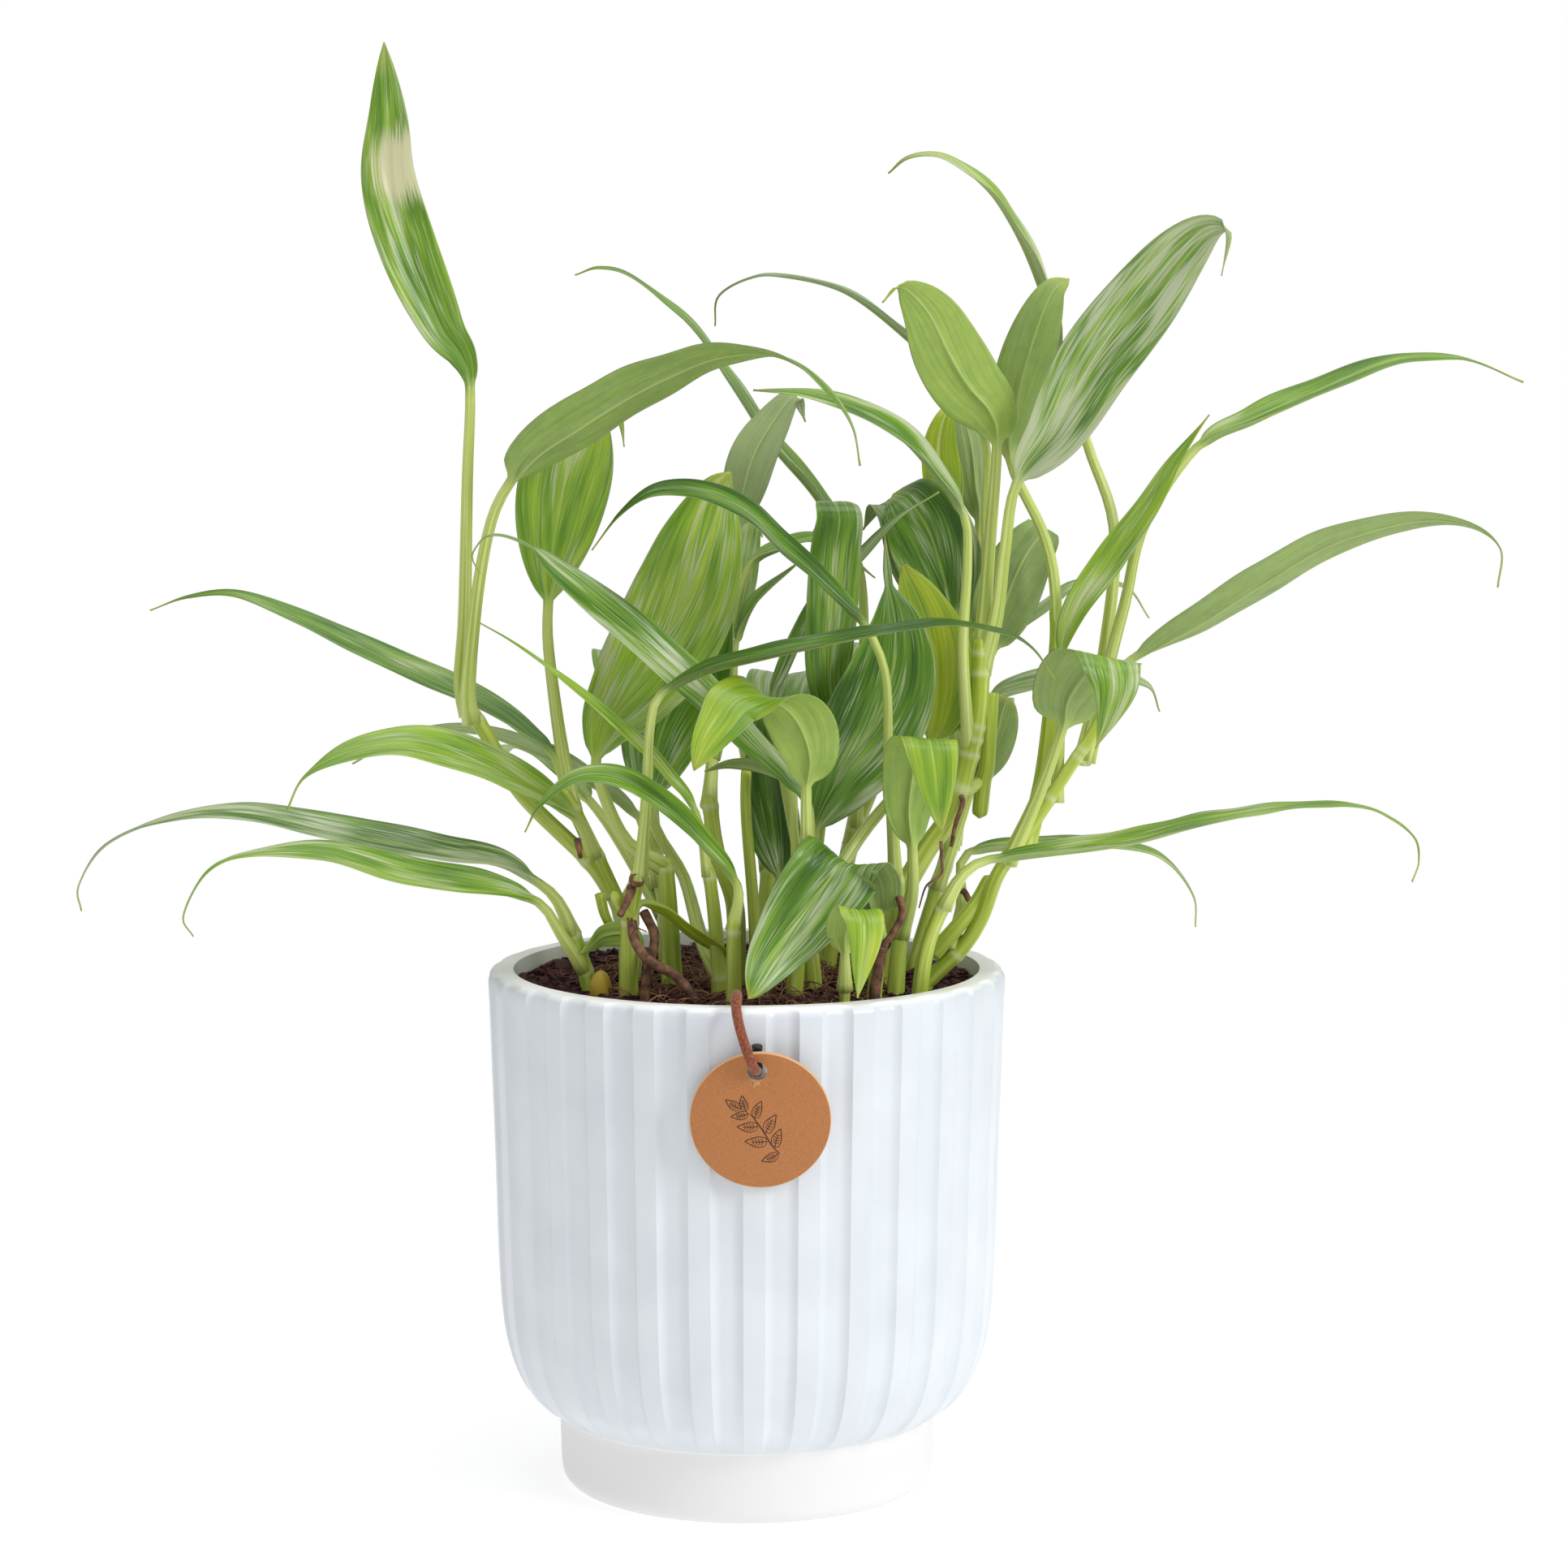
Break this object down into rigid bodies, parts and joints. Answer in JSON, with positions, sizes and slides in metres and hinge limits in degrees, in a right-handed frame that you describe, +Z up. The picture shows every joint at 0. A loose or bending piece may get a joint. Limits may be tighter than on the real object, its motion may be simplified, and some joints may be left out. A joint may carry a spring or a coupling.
{
  "type": "potted pothos",
  "caption": "Silver-streaked pothos with long lance-shaped leaves, in a fluted white ceramic pot on a smooth foot, with a round leather tag on a lace over the rim.",
  "frame": {"origin": "centre of the foot's flat underside", "axes": "+Z up, the side with the leather tag looks along -Y"},
  "size_m": [0.3916, 0.179, 0.3901],
  "materials": {
    "pot": "satin",
    "soil": "matte",
    "tag": "matte",
    "lace": "matte",
    "knot": "matte",
    "leaf": "satin",
    "root": "matte"
  },
  "bodies": {
    "root": {"pot": "pot", "soil": "soil", "tag": "tag", "lace": "lace", "knot": "knot", "root_left": "root", "root_right": "root", "shoot_tall_left": "leaf", "shoot_low_left": "leaf", "shoot_scarred": "leaf", "shoot_broad_left": "leaf", "shoot_narrow": "leaf", "shoot_front_fold": "leaf", "shoot_front_arch": "leaf", "shoot_centre": "leaf", "shoot_long_arch": "leaf", "shoot_broad_front": "leaf", "shoot_tag_leaf": "leaf", "shoot_small_front": "leaf", "shoot_big": "leaf", "shoot_right": "leaf", "shoot_low_right": "leaf", "shoot_back_left": "leaf", "shoot_back_mid": "leaf", "shoot_back_centre": "leaf", "shoot_back_right": "leaf"}
  },
  "joints": []
}
